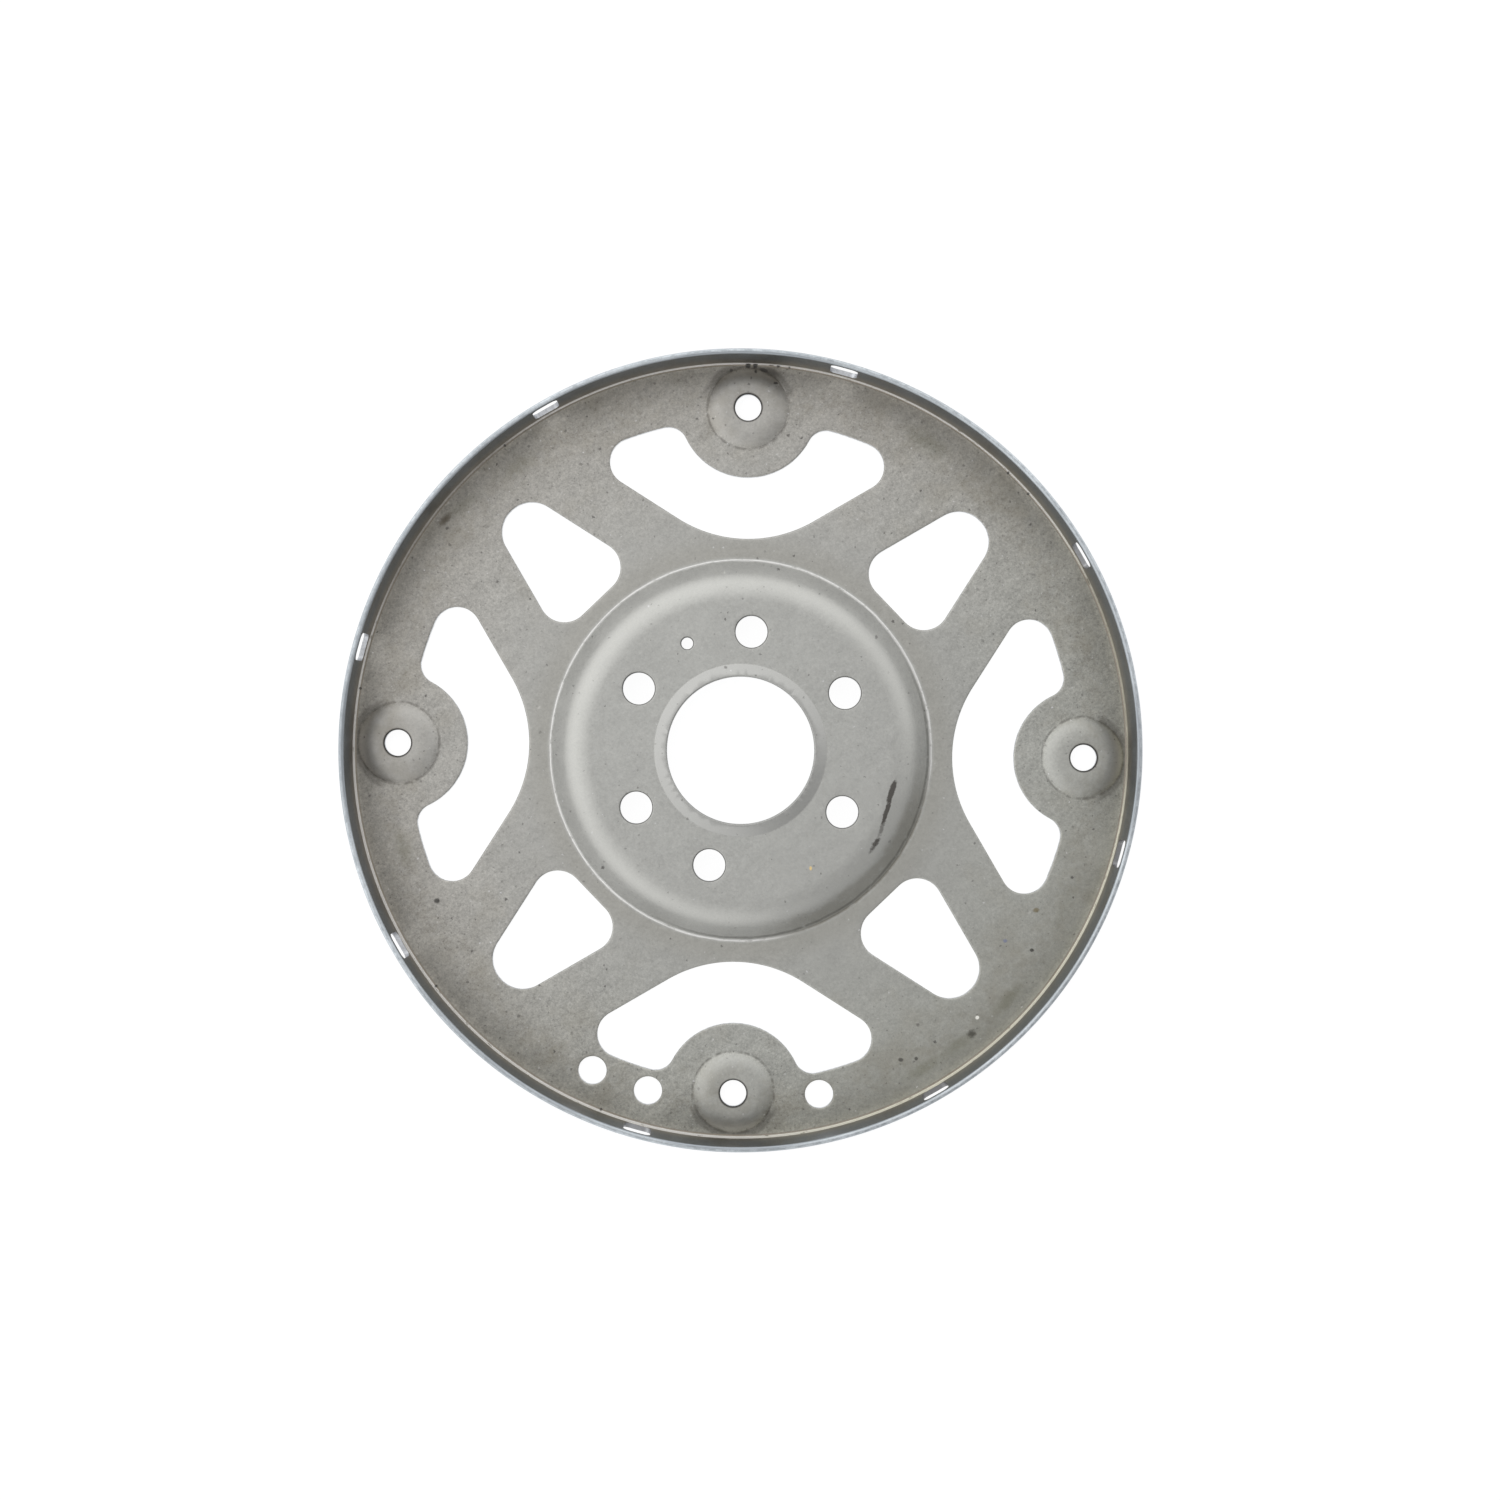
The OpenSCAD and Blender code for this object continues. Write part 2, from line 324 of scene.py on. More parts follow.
def insideOutline(points, outline):  # even and odd crossings
    hit = np.zeros(len(points), bool)
    low, high = outline.min(0), outline.max(0)
    near = np.where(np.all((points > low) & (points < high), axis=1))[0]
    if len(near) == 0:
        return hit
    x, y = points[near].T
    count = np.zeros(len(near), int)
    for a, b in zip(outline, np.roll(outline, -1, axis=0)):
        spans = (a[1] > y) != (b[1] > y)
        rise = b[1] - a[1] if b[1] != a[1] else 1e-9  # a level side spans nothing
        count += spans & (x < a[0] + (y - a[1]) / rise * (b[0] - a[0]))
    hit[near] = count % 2 == 1
    return hit


def hexGrid(low, high, step):
    rows = np.arange(low[1], high[1], step * math.sqrt(3) / 2)
    columns = np.arange(low[0], high[0], step)
    return np.array([[x + (i % 2) * step / 2, y] for i, y in enumerate(rows) for x in columns])


def triangulate(loops, fill, openings, clear):  # also gives each loop's places among the points
    points = [pt for loop in loops for pt in loop]
    starts = np.cumsum([0] + [len(loop) for loop in loops]).tolist()
    edges = []
    for start, loop in zip(starts, loops):
        edges.extend((start + i, start + (i + 1) % len(loop)) for i in range(len(loop)))
    tree = kdtree.KDTree(len(points))
    for i, pt in enumerate(points):
        tree.insert((pt[0], pt[1], 0), i)
    tree.balance()
    points += [pt for pt in fill if tree.find((pt[0], pt[1], 0))[2] > clear]
    made = delaunay_2d_cdt([Vector(pt) for pt in points], edges, [], 0, sheetwork["mergeGap"])
    xy = np.array([v[:] for v in made[0]])
    faces = np.array(made[2])
    middles = xy[faces].mean(axis=1)
    keep = np.ones(len(faces), bool)
    for outline in openings:
        keep &= ~insideOutline(middles, outline)
    place = {source: spot for spot, sources in enumerate(made[3]) for source in sources}
    spots = [[place[start + i] for i in range(len(loop))] for start, loop in zip(starts, loops)]
    return xy, faces[keep], spots


class Mesher:  # collects points, each with how much grime and painted shade a cut edge lays on it, and faces, each with its finish
    def __init__(self):
        self.points = []
        self.edges = []
        self.faces = []
        self.finishes = []

    def add(self, points, edges=None):
        first = len(self.points)
        self.points.extend(tuple(p) for p in points)
        self.edges.extend([0.0] * len(points) if edges is None else edges)
        return list(range(first, len(self.points)))

    def face(self, corners, finish):
        self.faces.append(tuple(corners))
        self.finishes.append(finish)

    def band(self, a, b, finish):  # closed strip between two rings of points
        for i in range(len(a)):
            j = (i + 1) % len(a)
            self.face((a[i], a[j], b[j], b[i]), finish)

    def lay(self, points, edges, faces, finish):  # a triangulated stretch, without its unused points
        used = np.unique(faces)
        placed = dict(zip(used.tolist(), self.add(points[used], edges[used])))
        for corners in faces.tolist():
            self.face([placed[c] for c in corners], finish)
        return placed


def rimTurns(w):
    return np.arange(w["rimSteps"]) * 360 / w["rimSteps"]


def laySheet(mesher, p, w, back):
    inset = p["sheet"] if back else 0
    roll = w["rollBack"] if back else w["rollTop"]
    bevel = [(away, 0) for away in w["bevelRows"]]
    nicks = () if back else w["nicks"]
    cuts = cutOutlines(p, w)
    loops, drops, darkness, firsts = [], [], [], []
    for kind, (points, normals) in cuts:
        firsts.append(len(loops))
        deeper = w["converterRoll"] if kind == "converter" else 1
        for away, drop in bevel if kind == "bore" and not back else roll:
            loops.append(points + away * normals)
            drops.append(drop * deeper)
            darkness.append(w["edgeMarks"].get(kind, 0) * (1 - away / roll[-1][0]))
    outer = np.array([polar(p["rimRadius"] - p["sheet"] - p["rimCrease"], turn) for turn in rimTurns(w)])
    loops.append(outer)
    for radius in formRings(p["hub"], inset, w["hubRows"]):
        loops.append(roundOutline(radius, w["ringStep"])[0])
    lipFoot = lipSection(p, inset)[1]
    for away in w["lipRows"]:
        loops.append(roundOutline(lipFoot + away, w["ringStep"])[0])
    for centre in bossCentres(p):
        for radius in formRings(p["boss"], inset, w["bossRows"]):
            loops.append(roundOutline(radius, w["ringStep"], centre)[0])
    reach = w["fillReach"]
    fill = hexGrid((-reach, -reach), (reach, reach), w["fillStep"])
    fill = fill[np.hypot(*fill.T) < np.hypot(*outer[0]) - w["fillMargin"]]
    for x, y, radius, _ in nicks:
        fill = fill[np.hypot(*(fill - (x, y)).T) > w["nickClear"] * radius]
        rings = [roundOutline(radius * share, w["nickStep"], (x, y))[0] for share in w["nickRings"]]
        fill = np.vstack([fill, [[x, y]]] + rings)
    xy, faces, spots = triangulate(loops, fill, [outline[0] for _, outline in cuts], w["sheetClear"])
    z = faceHeight(xy, p, back)
    edges = np.zeros(len(xy))
    for spot, drop, dark in zip(spots, drops, darkness):
        z[spot] += drop if back else -drop
        edges[spot] = dark
    for x, y, radius, depth in nicks:
        share = np.clip(np.hypot(*(xy - (x, y)).T) / radius, 0, 1)
        z -= depth * (1 - share ** 2) ** 2
    placed = mesher.lay(np.column_stack([xy, z]), edges, faces, "sheet")
    cutRings = [[placed[s] for s in spots[first]] for first in firsts]
    rimEdge = [placed[s] for s in spots[len(drops)]]
    return cutRings, rimEdge


def rimRing(mesher, w, radius, z):
    return mesher.add([(*polar(radius, turn), z) for turn in rimTurns(w)])


def layWall(mesher, p, w, radius, low, high):  # a wall of the rim with its slots, one sector at a time
    sector = 360 / p["slotCount"]
    steps, rows = w["rimSteps"] // p["slotCount"], w["wallRows"]
    half, base, top = p["slotLength"] / 2, p["slotLow"], p["slotHigh"]
    corners = np.array([[-half, base], [half, base], [half, top], [-half, top]])
    slot = roundedOutline(corners, [p["slotCorner"]] * 4, w["edgeStep"] * w["cornerShare"])
    arc = math.radians(sector) * radius
    across = np.linspace(-arc / 2, arc / 2, steps + 1)
    levels = np.linspace(low, high, rows + 1)
    border = np.vstack([
        np.column_stack([across[:-1], np.full(steps, low)]),
        np.column_stack([np.full(rows, arc / 2), levels[:-1]]),
        np.column_stack([across[:0:-1], np.full(steps, high)]),
        np.column_stack([np.full(rows, -arc / 2), levels[:0:-1]]),
    ])
    loops = [border]
    for away, _ in w["rollTop"]:
        flat = slot[0] + away * slot[1]
        loops.append(np.column_stack([radius * np.arcsin(flat[:, 0] / radius), flat[:, 1]]))
    margin = w["fillMargin"]
    fill = hexGrid((-arc / 2 + margin, low + margin), (arc / 2 - margin, high - margin), w["fillStep"])
    xy, faces, spots = triangulate(loops, fill, [loops[1]], w["wallClear"])
    depth = np.zeros(len(xy))
    sign = 1 if radius < p["rimRadius"] else -1  # the rolled edge goes into the metal
    for spot, (_, drop) in zip(spots[1:], w["rollTop"]):
        depth[spot] = sign * drop * w["slotRoll"]
    slots = []
    for k in range(p["slotCount"]):
        turns = p["slotTurn"] + k * sector + np.degrees(xy[:, 0] / radius)
        points = np.array([(*polar(radius + d, t), z) for d, t, z in zip(depth, turns, xy[:, 1])])
        placed = mesher.lay(points, np.zeros(len(xy)), faces, "rim")
        slots.append([placed[s] for s in spots[1]])
    return slots


def layRim(mesher, p, w, topEdge, backEdge):
    outer, inner = p["rimRadius"], p["rimRadius"] - p["sheet"]
    wallLow = p["sheet"] + p["rimCrease"]
    wallHigh = p["rimHeight"] - p["rimCrown"]
    bends = (p["rimCrease"], p["rimCrease"] + p["sheet"])
    for last, radius, rows in zip((topEdge, backEdge), bends, w["foldRows"]):
        for lean in np.radians(np.linspace(0, 90, rows + 1)[1:]):
            away = inner - p["rimCrease"] + radius * math.sin(lean)
            ring = rimRing(mesher, w, away, wallLow - radius * math.cos(lean))
            mesher.band(last, ring, "rim")
            last = ring
    inside = layWall(mesher, p, w, inner, wallLow, wallHigh)
    outside = layWall(mesher, p, w, outer, wallLow, wallHigh)
    for a, b in zip(inside, outside):
        mesher.band(a, b, "sheared")
    last = rimRing(mesher, w, inner, wallHigh)
    for lean in np.radians(np.linspace(180, 0, w["crownRows"] + 1)[1:]):
        away = p["sheet"] / 2 * (1 + math.cos(lean))
        ring = rimRing(mesher, w, inner + away, wallHigh + p["rimCrown"] * math.sin(lean))
        mesher.band(last, ring, "edge")
        last = ring


def pressPlate():
    p, w = pressing, sheetwork
    mesher = Mesher()
    topRings, topEdge = laySheet(mesher, p, w, False)
    backRings, backEdge = laySheet(mesher, p, w, True)
    for a, b in zip(topRings, backRings):
        mesher.band(a, b, "sheared")
    layRim(mesher, p, w, topEdge, backEdge)
    finishes = ["sheet", "rim", "sheared", "edge"]
    work = bmesh.new()
    cutEdge = work.verts.layers.float.new("cutEdge")
    made = [work.verts.new((x / metre, y / metre, z / metre)) for x, y, z in mesher.points]
    for vert, dark in zip(made, mesher.edges):
        vert[cutEdge] = dark
    for corners, finish in zip(mesher.faces, mesher.finishes):
        face = work.faces.new([made[c] for c in corners])
        face.material_index = finishes.index(finish)
        face.smooth = True
    bmesh.ops.remove_doubles(work, verts=work.verts, dist=w["weldGap"])
    bmesh.ops.triangulate(work, faces=work.faces[:])
    bmesh.ops.recalc_face_normals(work, faces=work.faces)
    data = bpy.data.meshes.new("flexplatePressing")
    work.to_mesh(data)
    loose = sum(not e.is_manifold for e in work.edges)
    volume = work.calc_volume() * metre ** 3
    print("plate pressed:", len(work.faces), "triangles,", loose, "open edges,", volume, "mm3")
    work.free()
    data.set_sharp_from_angle(angle=math.radians(w["sharpTurn"]))
    plate = bpy.data.objects.new("flexplatePressing", data)
    bpy.context.scene.collection.objects.link(plate)
    return plate


plate = pressPlate()
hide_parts("flexplate")
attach(plate, "root")


class Value:  # a node's output, with which sums are written as sums
    def __init__(self, socket):
        self.socket = socket
        self.tree = socket.id_data

    def __add__(self, other):
        return calc("ADD", self, other)

    def __sub__(self, other):
        return calc("SUBTRACT", self, other)

    def __rsub__(self, other):
        return calc("SUBTRACT", other, self)

    def __mul__(self, other):
        return calc("MULTIPLY", self, other)

    def __truediv__(self, other):
        return calc("DIVIDE", self, other)

    def __rtruediv__(self, other):
        return calc("DIVIDE", other, self)


def feed(socket, value):  # from another node's output, or a plain number, colour or vector
    if isinstance(value, Value):
        value.tree.links.new(value.socket, socket)
    elif socket.type == "RGBA":
        socket.default_value = (*value, 1)
    else:
        socket.default_value = value


def newNode(tree, kind, values=None, **settings):
    made = tree.nodes.new(kind)
    for name, setting in settings.items():
        setattr(made, name, setting)
    for label, value in (values or {}).items():
        feed(made.inputs[label], value)
    return made


def outputs(node):
    return {socket.name: Value(socket) for socket in node.outputs}


def worked(kind, values, output=0, **settings):  # one output of a new node, in the tree of what feeds it
    tree = next(value.tree for value in values.values() if isinstance(value, Value))
    return Value(newNode(tree, kind, values, **settings).outputs[output])


def arrange(tree, across=260, down=320):  # sets the nodes out in columns, with each link to the right
    sources = {}
    for link in tree.links:
        sources.setdefault(link.to_node.name, []).append(link.from_node.name)
    columns, rows = {}, {}

    def column(name):
        if name not in columns:
            columns[name] = 1 + max((column(source) for source in sources.get(name, ())), default=-1)
        return columns[name]

    for node in tree.nodes:
        at = column(node.name)
        rows[at] = rows.get(at, -1) + 1
        node.location = (across * at, -down * rows[at])


def calc(operation, a, b=0.0):
    return worked("ShaderNodeMath", {0: a, 1: b}, operation=operation)


def vectorCalc(operation, a, b=(0, 0, 0)):
    second = "Scale" if operation == "SCALE" else 1
    output = "Value" if operation in ("LENGTH", "DOT_PRODUCT") else "Vector"
    return worked("ShaderNodeVectorMath", {0: a, second: b}, output, operation=operation)


def mapRange(value, low, high, toLow, toHigh, **settings):
    values = {"Value": value, "From Min": low, "From Max": high, "To Min": toLow, "To Max": toHigh}
    return worked("ShaderNodeMapRange", values, "Result", **settings)


def remap(value, low, high, toLow=0.0, toHigh=1.0):
    return mapRange(value, low, high, toLow, toHigh, interpolation_type="SMOOTHSTEP")


def swing(value, depth):  # a factor round 1 from a noise round 0.5
    return mapRange(value, 0.0, 1.0, 1 - depth, 1 + depth, clamp=False)


def mixColour(share, a, b):
    return worked("ShaderNodeMix", {"Factor": share, 6: a, 7: b}, 2, data_type="RGBA")


def colourRamp(value, stops):
    made = newNode(value.tree, "ShaderNodeValToRGB", {0: value})
    ramp = made.color_ramp.elements
    while len(ramp) < len(stops):
        ramp.new(1.0)
    for element, (at, colour) in zip(ramp, stops):
        element.position = at
        element.color = (*colour, 1)
    return Value(made.outputs[0])


def noise(vector, scale, detail, rough, output=0):
    values = {"Vector": vector, "Scale": scale, "Detail": detail, "Roughness": rough}
    return worked("ShaderNodeTexNoise", values, output)


def spun(vector, angle):
    return worked("ShaderNodeVectorRotate", {"Vector": vector, "Angle": angle}, rotation_type="Z_AXIS")


def newGroup(name, inputs, outs):
    tree = bpy.data.node_groups.new(name, "ShaderNodeTree")
    for label, value in inputs.items():
        kind = "NodeSocketVector" if isinstance(value, tuple) else "NodeSocketFloat"
        tree.interface.new_socket(label, in_out="INPUT", socket_type=kind).default_value = value
    for label in outs:
        kind = "NodeSocketVector" if label == "Place" else "NodeSocketFloat"
        tree.interface.new_socket(label, in_out="OUTPUT", socket_type=kind)
    return tree, outputs(newNode(tree, "NodeGroupInput"))


def putOut(tree, **found):
    newNode(tree, "NodeGroupOutput", found)
    arrange(tree)
    return tree


def platePlacesGroup():  # millimetres on the plate, and distances from its axis and from the nearest boss
    tree, _ = newGroup("platePlaces", {}, ("Place", "Away", "BossAway", "Height"))
    place = vectorCalc("SCALE", outputs(newNode(tree, "ShaderNodeTexCoord"))["Object"], metre)
    flat = vectorCalc("MULTIPLY", place, (1, 1, 0))
    size = outputs(newNode(tree, "ShaderNodeSeparateXYZ", {0: vectorCalc("ABSOLUTE", place)}))
    far, near = calc("MAXIMUM", size["X"], size["Y"]), calc("MINIMUM", size["X"], size["Y"])
    bossOff = worked("ShaderNodeCombineXYZ", {"X": far - pressing["converterRadius"], "Y": near})
    away, bossAway = vectorCalc("LENGTH", flat), vectorCalc("LENGTH", bossOff)
    return putOut(tree, Place=place, Away=away, BossAway=bossAway, Height=size["Z"])


def facingSideGroup():  # cosine of the turn from one side of the plate to a place on it
    tree, given = newGroup("facingSide", {"Place": (0, 0, 0), "Side": (1, 0, 0)}, ("Facing",))
    way = vectorCalc("NORMALIZE", vectorCalc("MULTIPLY", given["Place"], (1, 1, 0)))
    return putOut(tree, Facing=vectorCalc("DOT_PRODUCT", way, given["Side"]))


grainShape = {
    "cells": 2.0,
    "middling": (0.75, 4.0, 0.85),  # scale, detail and roughness of each noise
    "wide": (0.2, 3.0, 0.65),
    "cloud": (0.05, 5.0, 0.6),
    "weights": (0.28, 1.5, 0.55),  # of the cells, the middling noise and the wide one
    "rollTurn": -0.68,
    "rollStretch": (0.35, 1.2, 1),
}


def rolledGrainGroup():  # crisp grain and mottle of the rolled sheet, slow clouds over it, and its relief
    tree, given = newGroup("rolledGrain", {"Place": (0, 0, 0), "Size": 1.0}, ("Grain", "Cloud", "Relief"))
    place, size = given["Place"], given["Size"]
    g = grainShape

    def sized(vector, scale, detail, rough):
        return noise(vector, scale / size, detail, rough)

    cells = newNode(tree, "ShaderNodeTexVoronoi", {"Vector": place, "Scale": g["cells"] / size})
    pick = worked("ShaderNodeSeparateColor", {0: outputs(cells)["Color"]}, "Red")
    middling = sized(place, *g["middling"])
    wide = sized(vectorCalc("MULTIPLY", spun(place, g["rollTurn"]), g["rollStretch"]), *g["wide"])
    parts = [(part - 0.5) * weight for part, weight in zip((pick, middling, wide), g["weights"])]
    grain = parts[0] + parts[1] + parts[2] + 0.5
    return putOut(tree, Grain=grain, Cloud=sized(place, *g["cloud"]), Relief=middling)


speckShape = {
    "wobble": (1.6, 2.0, 0.5),
    "wobbleReach": 1.5,
    "variety": 2.2,  # the higher, the fewer large ones
    "border": (0.3, -0.1),
    "depth": (0.4, 1.0),
}


def gritSpecksGroup():  # small pits and grit, each of its own size
    inputs = {"Place": (0, 0, 0), "Spacing": 4.0, "Amount": 0.3, "Size": 0.4}
    tree, given = newGroup("gritSpecks", inputs, ("Mask",))
    place, spacing = given["Place"], given["Spacing"]
    g = speckShape
    wobble = vectorCalc("SCALE", noise(place, *g["wobble"], output="Color"), g["wobbleReach"])
    values = {"Vector": vectorCalc("ADD", place, wobble), "Scale": 1.0 / spacing}
    cells = outputs(newNode(tree, "ShaderNodeTexVoronoi", values, voronoi_dimensions="2D"))
    pick = outputs(newNode(tree, "ShaderNodeSeparateColor", {0: cells["Color"]}))
    reach = given["Size"] * calc("POWER", pick["Green"], g["variety"])
    dot = remap(cells["Distance"] * spacing - reach, *g["border"])
    chosen = calc("LESS_THAN", pick["Red"], given["Amount"])
    return putOut(tree, Mask=dot * chosen * remap(pick["Blue"], 0.0, 1.0, *g["depth"]))


def raggedMarkGroup():  # one mark with a torn outline at a stated place
    tree, given = newGroup("raggedMark", {
        "Place": (0, 0, 0),
        "Centre": (0, 0, 0),
        "Turn": 0.0,
        "Reach": (5, 5, 5),
        "Torn": 0.5,
        "Ragged": 0.5,
        "Softness": 0.5,
    }, ("Mask",))
    along = spun(vectorCalc("SUBTRACT", given["Place"], given["Centre"]), given["Turn"])
    away = vectorCalc("LENGTH", vectorCalc("DIVIDE", along, given["Reach"]))
    edge = away + (given["Torn"] - 0.5) * given["Ragged"]
    return putOut(tree, Mask=remap(edge, 1.0, 1.0 - given["Softness"]))


lineShape = {
    "wander": (0.15, 1.0, 0.5),
    "breaks": (0.3, 3.0, 0.6),
    "breakSoftness": 0.12,
    "core": 0.3,  # share of the width that is at full strength
}


def ringLineGroup():  # a broken line at one distance from an axis
    inputs = {"Place": (0, 0, 0), "Away": 0.0, "Radius": 80.0, "Width": 0.5, "Breaks": 0.4}
    tree, given = newGroup("ringLine", inputs, ("Mask",))
    place, width, breaks = given["Place"], given["Width"], given["Breaks"]
    g = lineShape
    wander = (noise(place, *g["wander"]) - 0.5) * width
    off = calc("ABSOLUTE", given["Away"] - given["Radius"] + wander)
    line = remap(off, width, width * g["core"])
    kept = remap(noise(place, *g["breaks"]), breaks - g["breakSoftness"], breaks + g["breakSoftness"])
    return putOut(tree, Mask=line * kept)


groups = {
    "places": platePlacesGroup(),
    "side": facingSideGroup(),
    "grain": rolledGrainGroup(),
    "specks": gritSpecksGroup(),
    "mark": raggedMarkGroup(),
    "line": ringLineGroup(),
}
print("effects built:", ", ".join(groups))


def effect(tree, name, **values):
    return outputs(newNode(tree, "ShaderNodeGroup", values, node_tree=groups[name]))


def facingSide(place, turn):
    return effect(place.tree, "side", Place=place, Side=(*polar(1, turn), 0))["Facing"]


def newMaterial(name):
    made = bpy.data.materials.new(name)
    made.use_nodes = True
    return made, made.node_tree, made.node_tree.nodes["Principled BSDF"]


def setShader(shader, colour, metallic, roughness, height, bump):  # a bump: strength, millimetres
    relief = {"Strength": bump[0], "Distance": bump[1] / metre, "Height": height}
    normal = worked("ShaderNodeBump", relief)
    values = {"Base Color": colour, "Metallic": metallic, "Roughness": roughness, "Normal": normal}
    for label, value in values.items():
        feed(shader.inputs[label], value)
    arrange(shader.id_data)


def laySoils(s, colour, masks):  # lays the finish's tones over a colour in turn, each where its mask is
    for name, mask in masks.items():
        share, tone = s["soils"][name]
        colour = mixColour(mask * share, colour, s[tone])
    return colour


markShape = {
    "tear": (0.8, 5.0, 0.7),  # scale, detail and roughness of the noise that tears the outlines
    "height": 1.5,
}


def mark(x, y, z, long, wide, turn, ragged, soft, tone, share):
    return {
        "at": (x, y, z),
        "reach": (long, wide, markShape["height"]),
        "turn": turn,
        "ragged": ragged,
        "soft": soft,
        "tone": tone,
        "share": share,
    }


def layMarks(place, colour, marks):  # lays marks over a colour, and gives the mask of them all
    torn = noise(place, *markShape["tear"])
    total = None
    for m in marks:
        mask = effect(
            place.tree, "mark",
            Place=place,
            Centre=m["at"],
            Turn=-math.radians(m["turn"]),
            Reach=m["reach"],
            Torn=torn,
            Ragged=m["ragged"],
            Softness=m["soft"],
        )["Mask"]
        share = mask * m["share"]
        colour = mixColour(share, colour, m["tone"])
        total = share if total is None else calc("MAXIMUM", total, share)
    return colour, total


black = (0.045, 0.042, 0.038)
soot = (0.062, 0.056, 0.049)
brown = (0.13, 0.108, 0.078)
olive = (0.17, 0.17, 0.105)
paleFleck = (0.85, 0.85, 0.82)
whiteFleck = (0.95, 0.94, 0.88)
rustFleck = (0.2, 0.16, 0.08)
blueFleck = (0.16, 0.19, 0.36)
goldFleck = (0.85, 0.62, 0.25)
webTop = pressing["sheet"]
hubTop = webTop + pressing["hub"]["rise"]
footTop = webTop + 0.4

# marks on the upper face: place, half lengths, turn, how torn and soft the outline is, colour and strength
sheetMarks = [
    mark(62.8, -15.8, hubTop, 6.6, 1.5, 73, 0.9, 0.35, soot, 0.95),  # the long black streak on the hub
    mark(60.9, -24.0, hubTop, 6.8, 1.2, 72, 1.0, 0.35, soot, 0.95),
    mark(59.2, -30.6, hubTop, 6.0, 1.2, 74, 1.3, 0.5, soot, 0.65),
    mark(56.7, -38.2, hubTop, 6.8, 1.9, 61, 0.9, 0.35, soot, 0.95),
    mark(57.0, -38.7, hubTop, 0.8, 0.6, 20, 0.3, 0.5, paleFleck, 0.9),
    mark(9.6, 157.8, webTop, 9.0, 3.2, -8, 0.6, 1.0, black, 0.5),  # scorched by the rim at the top
    mark(2.8, 157.9, webTop, 1.0, 1.4, 0, 0.9, 0.5, black, 0.9),
    mark(6.1, 158.9, webTop, 2.2, 1.0, -15, 0.9, 0.5, black, 0.85),
    mark(11.3, 153.5, webTop + 1, 1.4, 0.7, 10, 0.8, 0.5, black, 0.9),
    mark(0.9, 155.1, webTop + 1, 0.7, 1.2, 0, 0.8, 0.6, black, 0.6),
    mark(-7.5, 158.6, webTop, 0.9, 0.9, 0, 0.8, 0.6, black, 0.7),
    mark(-125.6, 93.5, webTop, 5.2, 2.2, 52, 0.7, 0.9, brown, 0.85),  # stains on the web
    mark(-118.0, 100.0, webTop, 13.0, 3.6, 40, 0.6, 1.0, olive, 0.22),
    mark(-95.0, 117.0, webTop, 12.0, 5.0, 38, 0.6, 1.0, olive, 0.2),
    mark(99.1, -116.3, webTop, 2.8, 2.3, 20, 1.2, 0.8, black, 0.85),
    mark(113.9, -101.8, webTop, 14.0, 4.2, 48, 0.6, 1.0, olive, 0.38),
    mark(93.8, -120.9, webTop, 13.0, 4.2, 38, 0.6, 1.0, olive, 0.34),
    mark(78.9, -131.3, webTop, 13.0, 4.2, 31, 0.6, 1.0, olive, 0.36),
    mark(137.0, -62.0, webTop, 14.0, 3.6, 66, 0.6, 1.0, olive, 0.15),
    mark(-140.0, -44.0, webTop, 12.0, 5.0, 107, 0.6, 1.0, olive, 0.28),
    mark(75.0, 130.0, webTop, 15.0, 6.0, -30, 0.6, 1.0, olive, 0.3),
    mark(-125.5, -65.6, webTop, 1.7, 1.3, 0, 0.9, 0.6, black, 0.8),  # single spots and flecks
    mark(69.7, -127.8, webTop, 1.4, 1.1, 0, 0.7, 0.6, black, 0.75),
    mark(76.1, -127.1, webTop, 1.0, 1.0, 0, 0.7, 0.6, black, 0.75),
    mark(123.4, -80.8, webTop, 1.1, 0.9, 0, 0.7, 0.5, black, 0.85),
    mark(124.8, -64.0, webTop, 1.9, 1.3, 10, 0.7, 0.7, rustFleck, 0.75),
    mark(112.2, -77.1, webTop, 1.4, 1.0, 0, 0.7, 0.7, blueFleck, 0.6),
    mark(101.2, -109.4, webTop, 1.0, 1.0, 0, 0.3, 0.4, whiteFleck, 0.95),
    mark(30.0, -48.1, hubTop, 0.7, 1.1, 0, 0.3, 0.5, goldFleck, 0.85),
]

# dark ticks that break the bright line at the rim's foot, and what is scorched there
tickRadius = 160.8
tickTurns = (43, 47.3, 129, 172, 219, 250)
footMarks = [
    mark(*polar(tickRadius, turn), footTop, 0.75, 0.75, 0, 0.5, 0.5, black, 0.85)
    for turn in tickTurns
] + [
    mark(-0.4, 160.7, footTop, 1.5, 1.4, 0, 0.9, 0.5, black, 0.95),
    mark(2.5, 160.7, footTop, 1.4, 1.5, 0, 0.9, 0.5, black, 0.95),
    mark(12.2, 161.0, footTop, 1.0, 1.3, 0, 0.9, 0.5, black, 0.9),
    mark(16.8, 161.1, footTop, 0.7, 1.7, 0, 0.9, 0.5, black, 0.9),
]

